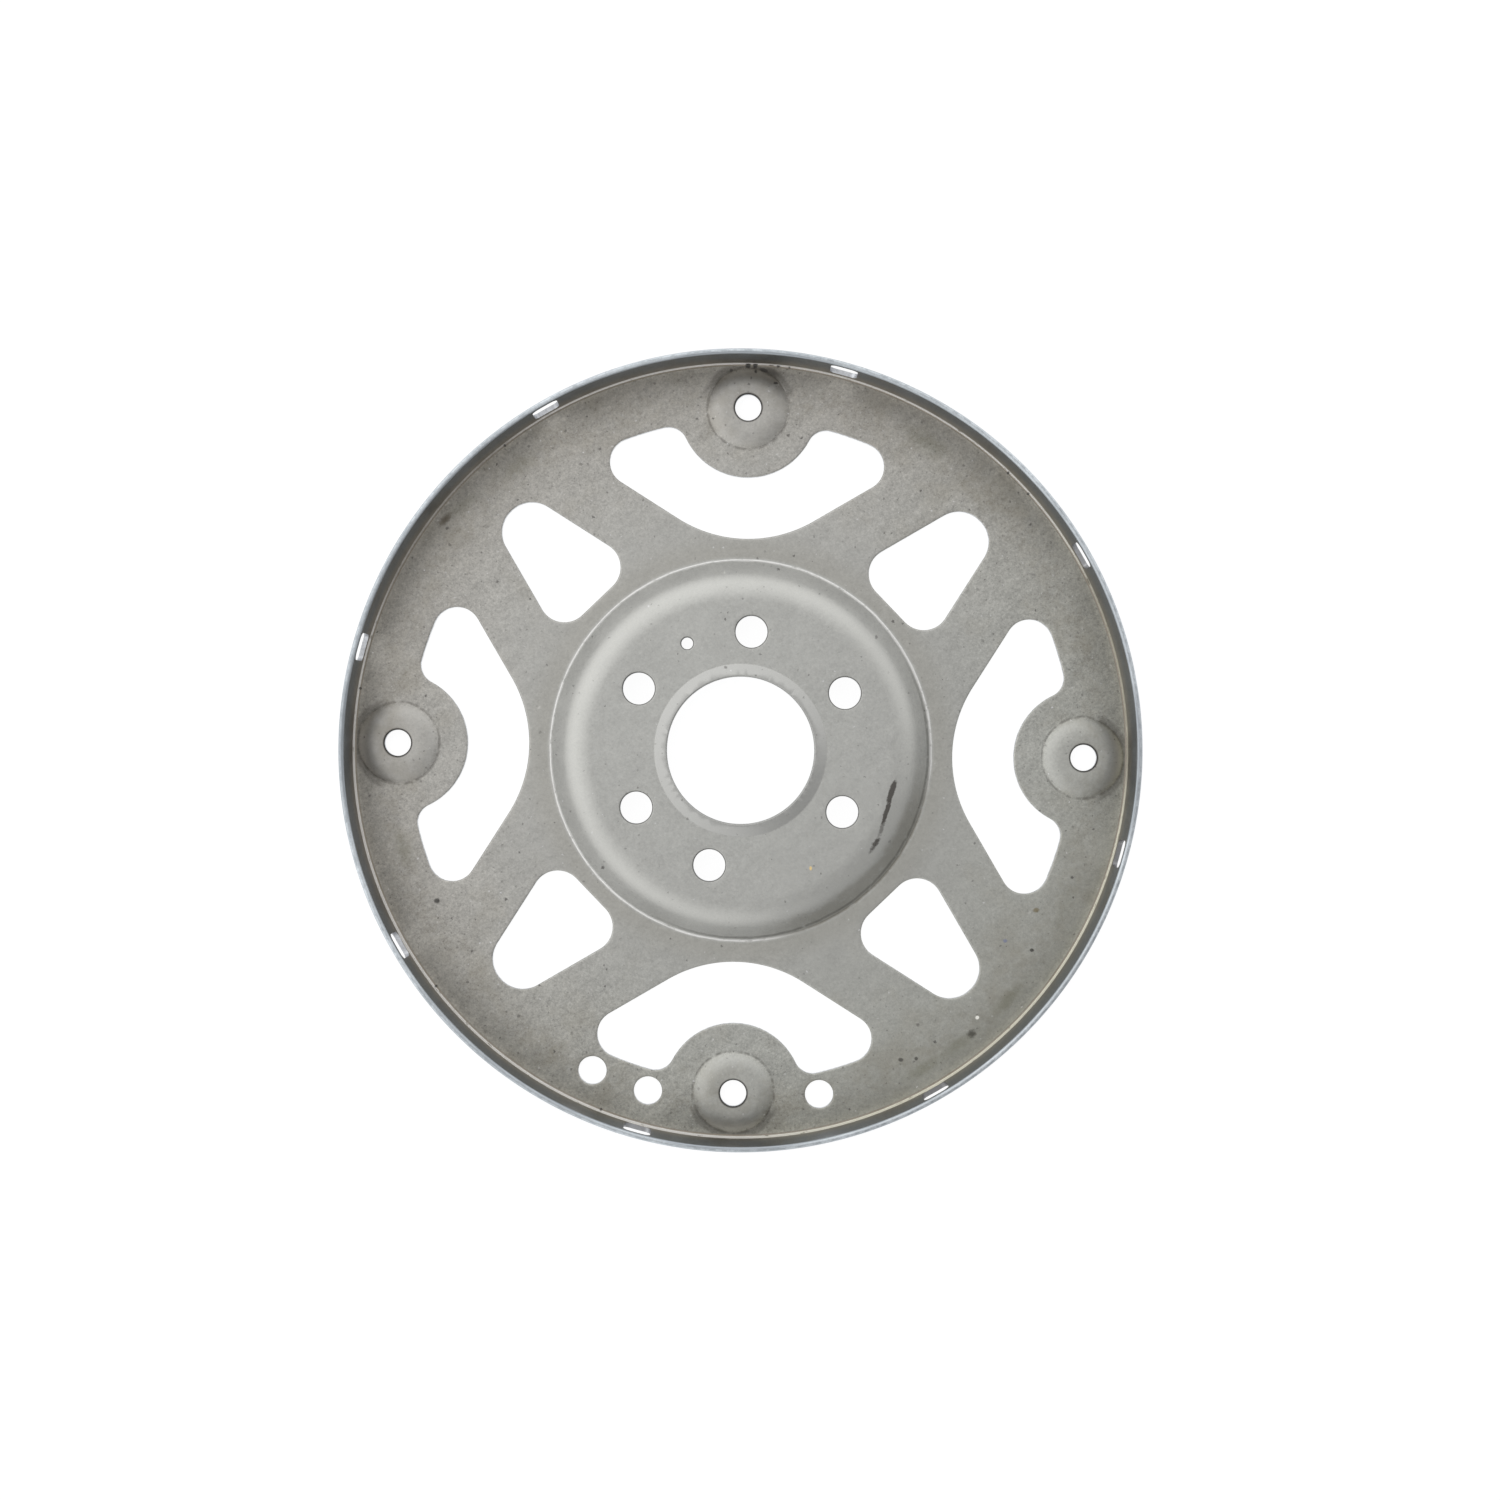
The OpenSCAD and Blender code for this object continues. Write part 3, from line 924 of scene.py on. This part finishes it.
# the rolled sheet of the web, the hub and the bosses
sheetFinish = {
    "tones": (  # share of the rim's radius, and the colour there
        (0.0, (0.535, 0.537, 0.512)),
        (0.49, (0.52, 0.52, 0.496)),
        (0.56, (0.485, 0.483, 0.46)),
        (0.65, (0.48, 0.477, 0.453)),
        (0.8, (0.455, 0.449, 0.424)),
        (0.92, (0.44, 0.43, 0.402)),
        (0.985, (0.43, 0.418, 0.383)),
    ),
    "dimTurn": 318.0,  # the side of the hub turned from the light, on which its crease loses its painted highlight and gets painted shade, and its wall gets stain and painted shade
    "warmTint": (1.008, 0.992, 0.982),  # over the sheet opposite that side
    "greenTint": (0.982, 1.002, 0.982),  # and on that side
    "grainSize": 1.0,
    "grainDepth": (0.12, 0.42),  # at the hub and at the rim
    "lipGrain": 0.06,
    "smoothGrain": 0.55,  # share of the grain that is left on the bosses and on the dim side
    "cloudDepth": 0.08,
    "roughness": (0.37, 0.48),  # at the hub and at the rim
    "grainRough": 0.1,
    "markRough": 0.25,
    "bump": (0.25, 0.14),
    "gritBump": 0.6,
    "bossTone": (0.68, 0.68, 0.67),
    "bossShares": (0.15, 0.26),  # towards the hub and towards the rim
    "lipTone": (0.42, 0.42, 0.41),
    # tone of stains, also used for painted shade
    "stain": (0.24, 0.21, 0.15),
    # tone of grime in creases, also used for painted shade
    "grime": (0.1, 0.093, 0.082),
    "grit": (0.12, 0.115, 0.11),
    "glint": (0.8, 0.8, 0.81),
    # tone of the painted highlight along the hub's crease
    "burnish": (0.84, 0.835, 0.815),
    "black": black,
    "soils": {  # the strength and tone of what lies on the steel, and of painted shade and painted highlight
        "lip": (0.55, "lipTone"),
        "cloud": (0.24, "stain"),
        "footStain": (0.16, "stain"),
        "bossFoot": (0.42, "grime"),
        "besideBoss": (0.2, "grime"),
        "bossFold": (0.42, "grime"),
        "hubWall": (0.26, "stain"),
        "hubMoat": (0.2, "stain"),
        "grit": (0.8, "grit"),
        "fine": (0.6, "grit"),
        "glint": (0.75, "glint"),
        "cutEdge": (0.92, "black"),
        "boltRing": (0.5, "black"),
        "underCrease": (0.4, "grime"),
        "wornCrease": (0.95, "burnish"),
        "dullCrease": (0.4, "stain"),
    },
    "ramps": {  # where each mask begins and is full, in its own units, and what it goes from and to
        "outward": (60.0, 158.0),
        "lip": (36.0, 35.2),
        "boss": (17.0, 14.5),
        "dimSide": (0.72, 0.97),
        "tintSide": (-0.5, 0.85),
        "rimSide": (148.0, 153.0),
        "cloud": (0.48, 0.68),
        "hubward": (154.0, 138.0, 0.9, 1.0),
        "besideBoss": (26.0, 14.0),
        "byRim": (146.0, 160.0),
        "moatIn": (79.9, 81.0),
        "moatOut": (94.0, 82.0),
        "specks": (0.0, 0.8, 0.14, 0.55),
        "cutEdge": (0.2, 0.5),
        "cutRimward": (136.0, 148.0, 0.8, 1.0),
        "boltRing": (6.4, 6.1),
        "underCrease": (0.1, 0.7),
        "wornFar": (-0.2, -0.7, 1.0, 0.72),
        "wornDim": (0.0, 1.0, 1.0, 0.02),
        "markMetal": (0.3, 1.0, 1.0, 0.25),
    },
    "lines": {
        "footStain": {"Radius": 149.0, "Width": 9.0, "Breaks": 0.5},
        "bossFoot": {"Radius": pressing["boss"]["foot"], "Width": 0.8, "Breaks": 0.46},
        "bossFold": {"Radius": pressing["boss"]["foot"] + 0.9, "Width": 2.2, "Breaks": 0.2},
        "hubWall": {"Radius": 76.0, "Width": 5.0, "Breaks": 0.35},
        "crease": {"Radius": pressing["hub"]["foot"] - 0.4, "Width": 0.8, "Breaks": 0.36},
        "underCrease": {"Radius": pressing["hub"]["foot"] - 1.7, "Width": 0.7, "Breaks": 0.36},
    },
    "specks": {
        "grit": {"Spacing": 7.0, "Size": 0.55},
        "fine": {"Spacing": 2.9, "Size": 0.3},
        "glint": {"Spacing": 4.3, "Size": 0.22},
    },
    "glintShare": 0.6,  # how many glints there are for each speck of grit
}


def sheetSteel():
    made, tree, shader = newMaterial("sheetSteel")
    s = sheetFinish
    places = effect(tree, "places")
    place, away, bossAway = places["Place"], places["Away"], places["BossAway"]
    grain = effect(tree, "grain", Place=place, Size=s["grainSize"])
    facing = facingSide(place, s["dimTurn"])

    def ramp(name, value):
        return remap(value, *s["ramps"][name])

    def line(name, fromAxis):
        return effect(tree, "line", Place=place, Away=fromAxis, **s["lines"][name])["Mask"]

    def specks(name, amount):
        return effect(tree, "specks", Place=place, Amount=amount, **s["specks"][name])["Mask"]

    outward, rimSide = ramp("outward", away), ramp("rimSide", away)
    onLip, onBoss, dimSide = ramp("lip", away), ramp("boss", bossAway), ramp("dimSide", facing)
    smoother = remap(calc("MAXIMUM", onBoss, dimSide), 0.0, 1.0, 1.0, s["smoothGrain"])

    colour = colourRamp(away / pressing["rimRadius"], s["tones"])
    depth = (grain["Grain"] - 0.5) * 2.0
    reach = (remap(outward, 0.0, 1.0, *s["grainDepth"]) + onLip * s["lipGrain"]) * smoother
    colour = vectorCalc("SCALE", colour, depth * reach + 1.0)
    colour = vectorCalc("SCALE", colour, swing(grain["Cloud"], s["cloudDepth"]))
    tint = mixColour(ramp("tintSide", facing), s["warmTint"], s["greenTint"])
    colour = vectorCalc("MULTIPLY", colour, mixColour(outward, (1, 1, 1), tint))
    bossLift = onBoss * remap(rimSide, 0.0, 1.0, *s["bossShares"])
    colour = mixColour(bossLift, colour, s["bossTone"])

    amount = ramp("specks", outward) * smoother
    grit = specks("grit", amount)
    colour = laySoils(s, colour, {
        "lip": onLip,
        "cloud": ramp("cloud", grain["Cloud"]) * outward,
        "footStain": line("footStain", away),
        "bossFoot": line("bossFoot", bossAway) * ramp("hubward", away),
        # painted shade from the rim, on the web and bosses beside it
        "besideBoss": ramp("besideBoss", bossAway) * ramp("byRim", away),
        # painted shade at the bosses' feet on the side towards the rim
        "bossFold": line("bossFold", bossAway) * rimSide,
        # stain and painted shade on the hub's wall, on the side turned from the light
        "hubWall": line("hubWall", away) * dimSide,
        "hubMoat": ramp("moatIn", away) * ramp("moatOut", away),
        "grit": grit,
        "fine": specks("fine", amount),
        "glint": specks("glint", amount * s["glintShare"]),
    })
    colour, marked = layMarks(place, colour, sheetMarks + footMarks)

    cutEdge = outputs(newNode(tree, "ShaderNodeAttribute", attribute_name="cutEdge"))["Fac"]
    crease = line("crease", away)
    colour = laySoils(s, colour, {
        # grime and painted shade along the cut edges
        "cutEdge": ramp("cutEdge", cutEdge) * ramp("cutRimward", away),
        # painted shade round the converter bolt holes
        "boltRing": ramp("boltRing", bossAway),
        # painted shadow just above the hub's crease, on the side turned from the light
        "underCrease": line("underCrease", away) * ramp("underCrease", facing),
        # painted highlight along the hub's crease, a little weaker on the side towards the light and gone on
        # the side turned from it
        "wornCrease": crease * (ramp("wornFar", facing) * ramp("wornDim", dimSide)),
        # painted shade on the hub's crease, on the side turned from the light
        "dullCrease": crease * dimSide,
    })
    rough = remap(outward, 0.0, 1.0, *s["roughness"]) + depth * s["grainRough"] + marked * s["markRough"]
    height = grain["Relief"] - grit * s["gritBump"]
    setShader(shader, colour, ramp("markMetal", marked), rough, height, s["bump"])
    return made


# the drawn wall of the rim, brown below and darker and bluer above, with a painted highlight along its foot
rimFinish = {
    "low": (0.37, 0.345, 0.31),
    "high": (0.22, 0.235, 0.25),
    "outside": (0.42, 0.43, 0.44),
    # tones of the painted highlight along the wall's foot
    "footLine": (0.95, 0.93, 0.9),
    "footGold": (0.93, 0.9, 0.76),
    "stain": (0.2, 0.172, 0.13),
    "soils": {"cloud": (0.4, "stain"), "groove": (0.5, "stain")},
    "grainSize": 1.2,
    "grainDepth": 0.2,
    "drawnStretch": (0.9, 0.9, 0.06),
    "drawnNoise": (1.0, 4.0, 0.65),
    "drawnDepth": 0.3,
    "cloudRise": 9.0,  # how far the clouds push the blue up and down
    "wearNoise": (0.22, 4.0, 0.6),
    "wallMiddle": 161.8,  # radius between the wall's two faces
    "goldTurn": 335.0,
    "broadTurn": 260.0,  # where the painted highlight at the foot is broadest
    "dullTurns": (143.0, 12.0),  # where it fades
    "bump": (0.15, 0.1),
    "ramps": {
        "blued": (9.0, 21.0),
        "outside": (161.8, 162.6),
        "cloud": (0.5, 0.68),
        "broad": (-0.3, 0.5, 0.0, 1.3),
        "lineTop": (webTop + 3.2, webTop + 2.6),
        "lineFoot": (161.0, 161.15),
        "worn": (0.28, 0.4, 0.3, 1.0),
        "grooveIn": (160.2, 160.5),
        "grooveOut": (161.2, 161.0),
        "dull": (0.92, 0.985, 1.0, 0.65),
        "gold": (0.3, 0.8),
        "metal": (0.3, 1.0, 1.0, 0.05),
        "rough": (0.25, 0.75, 0.34, 0.5),
    },
}


def rimSteel():
    made, tree, shader = newMaterial("rimSteel")
    s = rimFinish
    places = effect(tree, "places")
    place, away, height = places["Place"], places["Away"], places["Height"]
    grain = effect(tree, "grain", Place=place, Size=s["grainSize"])
    drawn = noise(vectorCalc("MULTIPLY", place, s["drawnStretch"]), *s["drawnNoise"])

    def ramp(name, value):
        return remap(value, *s["ramps"][name])

    outside = ramp("outside", away)
    # darker and bluer towards the top of the wall
    colour = mixColour(ramp("blued", height + grain["Cloud"] * s["cloudRise"]), s["low"], s["high"])
    colour = mixColour(outside, colour, s["outside"])
    colour = vectorCalc("SCALE", colour, swing(drawn, s["drawnDepth"]))
    colour = vectorCalc("SCALE", colour, swing(grain["Grain"], s["grainDepth"]))
    colour = laySoils(s, colour, {
        "cloud": ramp("cloud", grain["Cloud"]) * (1.0 - outside),
        # painted shade in the fold at the wall's foot
        "groove": ramp("grooveIn", away) * ramp("grooveOut", away),
    })

    # painted highlight along the fold at the wall's foot, broken by noise, broadest on one side, fading on
    # two others and gold on another
    drop = height - ramp("broad", facingSide(place, s["broadTurn"]))
    worn = ramp("worn", noise(place, *s["wearNoise"]))
    line = ramp("lineTop", drop) * worn * ramp("lineFoot", away) * calc("LESS_THAN", away, s["wallMiddle"])
    for turn in s["dullTurns"]:
        line = line * ramp("dull", facingSide(place, turn))
    goldSide = ramp("gold", facingSide(place, s["goldTurn"]))
    colour = mixColour(line, colour, mixColour(goldSide, s["footLine"], s["footGold"]))
    colour, marked = layMarks(place, colour, footMarks)
    metal = ramp("metal", calc("MAXIMUM", marked, line))
    setShader(shader, colour, metal, ramp("rough", drawn), drawn, s["bump"])
    return made


# the cut edges, burnished where the punch entered and torn below
shearedFinish = {
    "burnished": (0.66, 0.68, 0.71),
    "torn": (0.5, 0.51, 0.53),
    "dirt": (0.2, 0.195, 0.19),
    "soils": {"ledges": (0.7, "dirt")},
    "dirtTurn": 324.0,  # the side turned from the light, on which the slots' ledges get painted shade
    "grainSize": 0.8,
    "grainDepth": 0.15,
    "tornStretch": (0.5, 0.5, 0.1),
    "tornNoise": (1.0, 4.0, 0.6),
    "tornBorder": (0.3, 0.7),
    "dirtBorder": (-0.15, 0.7),
    "rimBorder": (155.0, 160.0),
    "roughness": (0.35, 0.65, 0.32, 0.5),
    "bump": (0.12, 0.1),
}


def shearedSteel():
    made, tree, shader = newMaterial("shearedSteel")
    s = shearedFinish
    places = effect(tree, "places")
    place = places["Place"]
    grain = effect(tree, "grain", Place=place, Size=s["grainSize"])
    torn = noise(vectorCalc("MULTIPLY", place, s["tornStretch"]), *s["tornNoise"])
    colour = mixColour(remap(torn, *s["tornBorder"]), s["burnished"], s["torn"])
    colour = vectorCalc("SCALE", colour, swing(grain["Grain"], s["grainDepth"]))
    shadeSide = remap(facingSide(place, s["dirtTurn"]), *s["dirtBorder"])
    # painted shade on the slots' ledges, on the side turned from the light
    colour = laySoils(s, colour, {"ledges": shadeSide * remap(places["Away"], *s["rimBorder"])})
    setShader(shader, colour, 1.0, remap(torn, *s["roughness"]), torn, s["bump"])
    return made


# the rim's trimmed edge, bluish and bright, with a darker line near its outside
edgeFinish = {
    "tone": (0.63, 0.672, 0.705),
    "dull": (0.3, 0.33, 0.36),
    "soils": {"line": (0.6, "dull"), "nearWall": (0.65, "dull"), "bossward": (0.15, "dull")},
    "line": {"Radius": pressing["rimRadius"] - 0.75, "Width": 0.45, "Breaks": 0.5},
    "dullSides": (  # where it gets painted shade, how far round (a cosine) and how much
        (238.0, 0.92, 0.32),
        (165.0, 0.86, 0.26),
        (184.0, 0.975, 0.25),
    ),
    "grainSize": 0.7,
    "grainDepth": 0.15,
    "cloudDepth": 0.3,
    "wallBorder": (162.05, 161.75),
    "wallWander": 0.5,
    "bossBorder": (38.0, 24.0),
    "bossWiden": 0.5,  # how much broader the dull inner border is by a boss
    "roughness": (0.3, 0.7, 0.28, 0.44),
    "bump": (0.12, 0.1),
}


def edgeSteel():
    made, tree, shader = newMaterial("edgeSteel")
    s = edgeFinish
    places = effect(tree, "places")
    place, away = places["Place"], places["Away"]
    grain = effect(tree, "grain", Place=place, Size=s["grainSize"])
    line = effect(tree, "line", Place=place, Away=away, **s["line"])["Mask"]
    colour = laySoils(s, s["tone"], {"line": line})
    colour = vectorCalc("SCALE", colour, swing(grain["Grain"], s["grainDepth"]))
    colour = vectorCalc("SCALE", colour, swing(grain["Cloud"], s["cloudDepth"]))
    bossward = remap(places["BossAway"], *s["bossBorder"])
    wander = away + grain["Cloud"] * s["wallWander"] - bossward * s["bossWiden"]
    colour = laySoils(s, colour, {"nearWall": remap(wander, *s["wallBorder"]), "bossward": bossward})
    # painted shade on three sides of the edge
    for turn, border, share in s["dullSides"]:
        side = remap(facingSide(place, turn), border, 1.0)
        colour = mixColour(side * share, colour, s["dull"])
    rough = remap(grain["Grain"], *s["roughness"])
    setShader(shader, colour, 1.0, rough, grain["Grain"], s["bump"])
    return made


for finish in (sheetSteel(), rimSteel(), shearedSteel(), edgeSteel()):  # in the order of the faces' finishes
    plate.data.materials.append(finish)
    print("finish laid:", finish.name)


# soft light all round, brightest half way up and weaker at the lower right
studio = {
    "levels": (  # sine of the height, and the light from there
        (0.0, 0.46),
        (0.2, 0.68),
        (0.42, 1.06),
        (0.62, 1.27),
        (0.76, 1.12),
        (0.88, 0.93),
        (0.96, 0.72),
        (1.0, 0.6),
    ),
    "brightTurn": 140.0,
    "brightPull": (0.7, 1.0, 0.2, 0.9),  # how much more light comes from that side, low down and overhead
    "dimTurn": 322.0,
    "dimSector": (0.55, 0.97, 0.0, 0.45),  # how much less comes from this one
    "dimHeight": (0.97, 0.8),
    "strength": 1.0,
    "floorTone": (0.16, 0.16, 0.165),
    "floorRough": 0.9,
    "floorGlow": 0.9,
    "floorHalf": 30.0,
    "floorDrop": 1e-4,
}
white = (1, 1, 1)


def lightStudio():
    world = bpy.data.worlds.new("studio")
    bpy.context.scene.world = world
    world.use_nodes = True
    tree = world.node_tree
    tree.nodes.clear()
    s = studio
    way = outputs(newNode(tree, "ShaderNodeTexCoord"))["Generated"]
    up = worked("ShaderNodeSeparateXYZ", {0: way}, "Z")
    level = colourRamp(up, [(z, (v, v, v)) for z, v in s["levels"]])
    toward = vectorCalc("DOT_PRODUCT", way, (*polar(1, s["brightTurn"]), 0))
    side = toward * remap(up, *s["brightPull"]) + 1.0
    shade = remap(facingSide(way, s["dimTurn"]), *s["dimSector"]) * remap(up, *s["dimHeight"])
    lit = vectorCalc("SCALE", level, side * (1.0 - shade))
    seen = outputs(newNode(tree, "ShaderNodeLightPath"))["Is Camera Ray"]
    light = worked("ShaderNodeBackground", {"Color": mixColour(seen, lit, white), "Strength": s["strength"]})
    newNode(tree, "ShaderNodeOutputWorld", {"Surface": light})
    arrange(tree)


def layFloor():
    s = studio
    half, low = s["floorHalf"], -s["floorDrop"]
    data = bpy.data.meshes.new("studioFloor")
    corners = [(-half, -half, low), (half, -half, low), (half, half, low), (-half, half, low)]
    data.from_pydata(corners, [], [(0, 1, 2, 3)])
    floor = bpy.data.objects.new("studioFloor", data)
    bpy.context.scene.collection.objects.link(floor)
    made, _, shader = newMaterial("paleFloor")
    feed(shader.inputs["Base Color"], s["floorTone"])
    feed(shader.inputs["Roughness"], s["floorRough"])
    feed(shader.inputs["Emission Color"], white)
    feed(shader.inputs["Emission Strength"], s["floorGlow"])
    data.materials.append(made)


# looking straight down, as the photograph does
camera = {
    "height": 0.7572,
    "aside": (0.003876, 0.000215),
    "roll": 1.26,
    "lens": 43.39,
    "sensor": 36.0,
}


def setCamera():
    data = bpy.data.cameras.new("camera")
    data.lens = camera["lens"]
    data.sensor_width = camera["sensor"]
    made = bpy.data.objects.new("camera", data)
    made.location = (*camera["aside"], camera["height"])
    made.rotation_euler = (0, 0, math.radians(camera["roll"]))
    bpy.context.scene.collection.objects.link(made)
    bpy.context.scene.camera = made
    bpy.context.scene.view_settings.view_transform = "Standard"


lightStudio()
layFloor()
setCamera()
print("studio set")
